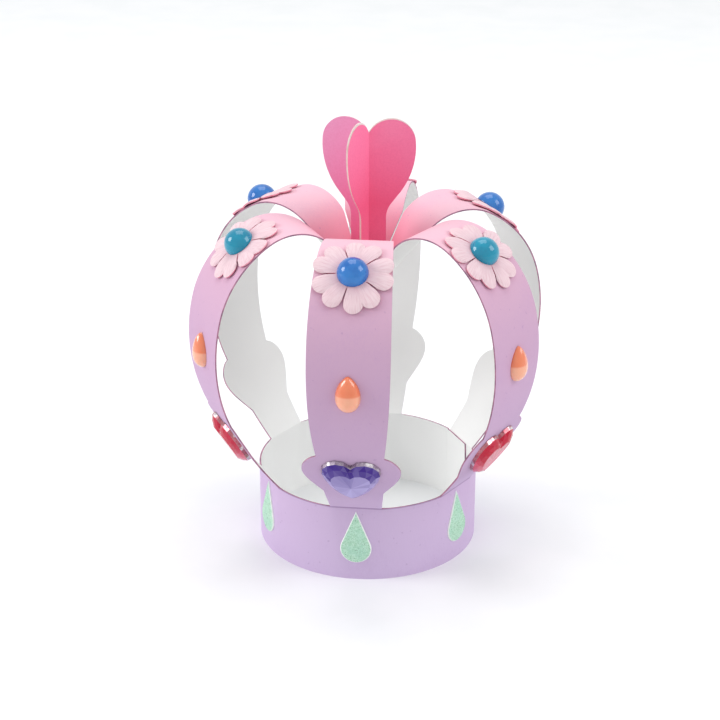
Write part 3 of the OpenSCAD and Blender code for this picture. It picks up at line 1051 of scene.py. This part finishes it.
def gem_outline():
    """Right half of the heart, cleft to point: a round lobe, then a side that leaves it smoothly."""
    radius = gem_width * 0.27
    lobe = Vector((gem_width / 2 - radius, gem_length / 2 - radius))
    start = math.radians(-8)
    way = Vector((math.cos(start), math.sin(start)))
    point = Vector((0, -gem_length / 2)) - lobe
    side_radius = (point - radius * way).length_squared / (2 * (radius - point.dot(way)))
    side = lobe + (radius - side_radius) * way
    end = -math.atan2(side.y + gem_length / 2, -side.x)
    half_steps = gem_sides // 2
    cleft = math.pi - math.acos(lobe.x / radius)
    return arc(lobe, radius, cleft, start, half_steps) + arc(side, side_radius, start, end, half_steps)[1:]


gem_half = gem_outline()
gem_points = []
for size, share, shift in gem_cut:
    for i in range(gem_sides):
        at = int(2 * (i + shift))
        x, y = gem_half[min(at, 2 * gem_sides - at)]
        gem_points.append((size * (-x if at < gem_sides else x), size * y, gem_height * share))
table_middle = -gem_length * 0.04
gem_points.append((0, table_middle, gem_height))


def gem_faces():
    """Floor, foil wall, two rows of triangles and the flat table, which is a fan round its middle."""
    count = gem_sides
    faces = ring_faces(2, count)[:-1]
    for row in (1, 2):
        for i in range(count):
            low, low_next = row * count + i, row * count + (i + 1) % count
            high, high_next = low + count, low_next + count
            if row == 1:
                faces += [(low, low_next, high), (low_next, high_next, high)]
            else:
                faces += [(low, low_next, high_next), (low, high_next, high)]
    faces += [(3 * count + i, 3 * count + (i + 1) % count, 4 * count) for i in range(count)]
    return faces


print("facets of a gem:", len(gem_faces()))

# %% Six heart gems
facet_spread = random.Random(7)
# How far a facet faces up the arm where its tone turns from pale to deep
tone_turn = {"gem_purple": -0.05, "gem_red": -0.22}


def tone_facets(mesh, turn):
    """Stores the painted light of each facet: pale where it faces down the arm, deep above, uneven on the
    table as painted reflection.
    """
    tones = mesh.attributes.new("facet_tone", "FLOAT", "FACE")
    for face in mesh.polygons:
        table = face.normal.z > 0.95
        pale = 0.85 * (1 - smooth_step(turn - 0.12, turn + 0.12, face.normal.y))
        if table:
            pale = 0.95 - 0.4 * smooth_step(0.02, 0.2, face.center.y / gem_length)
        spread = 0.2 if table else 0.11
        tones.data[face.index].value = 0.1 + 0.78 * pale + facet_spread.uniform(-spread, spread)


for index, side in enumerate(sides):
    slot = ["gem_purple", "gem_red"][index % 2]
    piece = new_piece("heart_gem_" + side, gem_points, gem_faces(), gem_finishes[slot])
    tone_facets(piece.data, tone_turn[slot])
    for face in piece.data.polygons[:gem_sides + 1]:
        face.material_index = 1
    piece.data.transform(seat_matrix(index, gem_seat))
    place_piece(settle(piece, sharp_angle=4), "gem_" + side)
print("tones stored on", len(piece.data.attributes["facet_tone"].data), "facets")

# %% [markdown]
# ## Glitter drops on the band
# The flat drops are punched from mint glitter card with a white core. The face is set in a little from the
# edge, so the core shows as a white line round it. A Geometry Nodes tree strews flakes over the face:
# points from a fixed seed, a small hexagon on each, and a slight random tilt so that some catch the light.

# %% Glitter finishes


def glitter_card(name):
    """Mint card with fine grains of glitter."""
    finish = Finish(name)
    grains = finish.add("ShaderNodeTexVoronoi", {}, {"Vector": finish.place, "Scale": 2600}, output="Color")
    grain = finish.part(grains, "X")
    colour = finish.mix(ink("9ED2B1"), ink("CBECD8"), grain)
    colour = finish.mix(colour, ink("A9DCC8"), finish.between(finish.noise(160), 0.4, 0.7) * 0.5)
    return finish.wear(Base_Color=colour, Roughness=0.4 + grain * 0.3, Specular_IOR_Level=0.5,
                       Normal=finish.bump(grain, 0.08 * mm, 0.6))


def flake(name):
    """Shiny flakes, each about one tone."""
    finish = Finish(name)
    cell = finish.add("ShaderNodeVectorMath", {"operation": "SNAP"}, {0: finish.place, 1: (0.3 * mm,) * 3})
    tone = finish.add("ShaderNodeTexWhiteNoise", {}, {"Vector": cell})
    colour = finish.mix(ink("8FCBA6"), ink("D8F3E2"), tone)
    return finish.wear(Base_Color=colour, Metallic=0.4, Roughness=0.25 + tone * 0.2)


mint_face = glitter_card("mint_glitter_card")
mint_flake = flake("mint_flake")
white_core = plain_card("mint_card_core", "F4F8F4", "E2EEE6", 600)
print("glitter finishes:", mint_face.name, mint_flake.name, white_core.name)

# %% Rule: strewn flakes


def flake_rule():
    net, wire, named = new_rule("strewn_flakes", {
        "Flakes per Area": "NodeSocketFloat", "Flake Size": "NodeSocketFloat", "Face": "NodeSocketMaterial",
        "Finish": "NodeSocketMaterial", "Seed": "NodeSocketInt"})
    strewn = net.add("GeometryNodeDistributePointsOnFaces", {}, {
        "Mesh": wire["Geometry"], "Density": wire["Flakes per Area"], "Seed": wire["Seed"],
        "Selection": net.add("GeometryNodeMaterialSelection", {}, {0: wire["Face"]})})
    lie = Wire(net, strewn.socket.node.outputs["Rotation"])
    tilt = net.add("FunctionNodeRandomValue", {"data_type": "FLOAT_VECTOR"}, {
        "Min": (-0.2, -0.2, -3), "Max": (0.2, 0.2, 3), "Seed": wire["Seed"]})
    turn = net.add("FunctionNodeRotateRotation", {"rotation_space": "LOCAL"}, {
        0: lie, 1: net.add("FunctionNodeEulerToRotation", {}, {0: tilt})})
    hexagon = net.add("GeometryNodeMeshCircle", {"fill_type": "NGON"}, {
        "Vertices": 6, "Radius": wire["Flake Size"]})
    lifted = net.add("GeometryNodeTransform", {}, {"Geometry": hexagon, "Translation": (0, 0, 0.03 * mm)})
    marked = net.add("GeometryNodeStoreNamedAttribute", {"data_type": "BOOLEAN", "domain": "FACE"}, {
        "Geometry": lifted, "Name": "is_flake", "Value": True})
    flakes = net.add("GeometryNodeInstanceOnPoints", {}, {
        "Points": strewn, "Instance": marked, "Rotation": turn})
    joined = net.add("GeometryNodeJoinGeometry", {}, {0: [wire["Geometry"], flakes]})
    is_flake = net.add("GeometryNodeInputNamedAttribute", {"data_type": "BOOLEAN"}, {"Name": "is_flake"})
    end_rule(net, joined, wire["Finish"], is_flake)
    return net.tree, named


flake_tree, flake_inputs = flake_rule()
print("inputs of the rule:", list(flake_inputs))

# %% Six glitter drops
mint_length = 18.8 * mm
mint_radius = 5.2 * mm
mint_thick = 0.5 * mm
mint_below = 1.3 * mm
mint_inset = 0.28 * mm
flakes_per_area = 2.5e6
flake_size = 0.16 * mm
first_seed = 11
mint_reach = mint_length - mint_radius
shoulder = math.asin(mint_radius / mint_reach)


def mint_outline(inset):
    """A round end with two straight sides that meet in a point, set in from the edge."""
    radius = mint_radius - inset
    ends = arc((0, 0), radius, math.pi - shoulder, 2 * math.pi + shoulder, 48)
    return [*ends, (0, mint_reach * radius / mint_radius)]


mint_down = mint_below + mint_reach
mint_place = (fold_radius + mint_down * math.sin(flat_lean), band_height - mint_down * math.cos(flat_lean))
mint_levels = [(0, 0), (0, mint_thick * 0.6), (mint_inset, mint_thick)]
mint_points = [(x, y, z) for inset, z in mint_levels for x, y in mint_outline(inset)]
for index, side in enumerate(sides):
    faces = ring_faces(len(mint_levels), len(mint_points) // len(mint_levels))
    piece = new_piece("mint_drop_" + side, mint_points, faces, [mint_face, white_core, mint_flake])
    for face in piece.data.polygons[:-1]:
        face.material_index = 1
    piece.data.transform(frame_matrix(index, mint_place[0], mint_place[1], -flat_lean))
    use_rule(piece, flake_tree, flake_inputs, {
        "Flakes per Area": flakes_per_area, "Flake Size": flake_size, "Face": mint_face,
        "Finish": mint_flake, "Seed": first_seed + index})
    place_piece(settle(piece), "band_drop_" + side)
print("faces of a glitter drop:", len(piece.data.polygons))

# %% [markdown]
# ## Table, light and camera
# The crown stands on a wide white table. Soft lamps stand on both sides, the left one stronger, so the
# sides are bright and the front arm is calmer, and a broad lamp hangs over it. The camera looks down at the
# front arm from a little to the right, with a long lens.

# %% Table
table_half = 4.0
table_signs = [(-1, -1), (1, -1), (1, 1), (-1, 1)]
table = new_piece("table", [(table_half * x, table_half * y, 0) for x, y in table_signs], [(0, 1, 2, 3)],
                  [plain_card("white_table", "F7F8F9", "F3F5F6", 30)])
print("table side, m:", 2 * table_half)

# %% Lamps and world


def soft_lamp(name, place, aim, size, watts, shape="SQUARE"):
    """An area lamp that shines on the aim."""
    lamp = bpy.data.lights.new(name, "AREA")
    lamp.shape = shape
    lamp.size = size
    lamp.energy = watts
    holder = new_object(name, lamp)
    holder.location = place
    holder.rotation_euler = (Vector(aim) - Vector(place)).to_track_quat("-Z", "Y").to_euler()


aim = (0, 0, 0.07)
soft_lamp("left_lamp", (-1.15, -0.2, 0.65), aim, 0.6, 7.0, "DISK")
soft_lamp("right_window", (1.0, -0.15, 0.8), aim, 0.64, 4.8)
soft_lamp("top_lamp", (-0.1, 0.4, 1.35), aim, 0.9, 6.0)


def set_world(colour, light_level):
    """Even light for the object, and white for what the camera, gloss and glass see."""
    world = bpy.data.worlds.new("studio")
    world.use_nodes = True
    bpy.context.scene.world = world
    net = Net(world.node_tree)
    ray = net.add("ShaderNodeLightPath")
    seen = [Wire(net, ray.socket.node.outputs[key]) for key in
            ("Is Camera Ray", "Is Glossy Ray", "Is Transmission Ray")]
    share = ray.maths("MAXIMUM", ray.maths("MAXIMUM", seen[0], seen[1]), seen[2])
    strength = light_level + share * (1 - light_level)
    net.plug(world.node_tree.nodes["Background"], {"Color": colour, "Strength": strength})


set_world(ink("FDFEFF"), 0.66)

# %% Camera
camera_place = (57.9 * mm, -549.8 * mm, 307.0 * mm)
camera_pitch = 0.415
camera_heading = 0.1098
camera = bpy.data.cameras.new("photo_camera")
camera.lens = 89.18
camera.sensor_width = 36
camera_holder = new_object("photo_camera", camera)
camera_holder.location = camera_place
camera_holder.rotation_euler = (math.pi / 2 - camera_pitch, 0, camera_heading)
bpy.context.scene.camera = camera_holder
bpy.context.scene.view_settings.view_transform = "Standard"
print("camera distance, mm:", round(Vector(camera_place).length / mm))
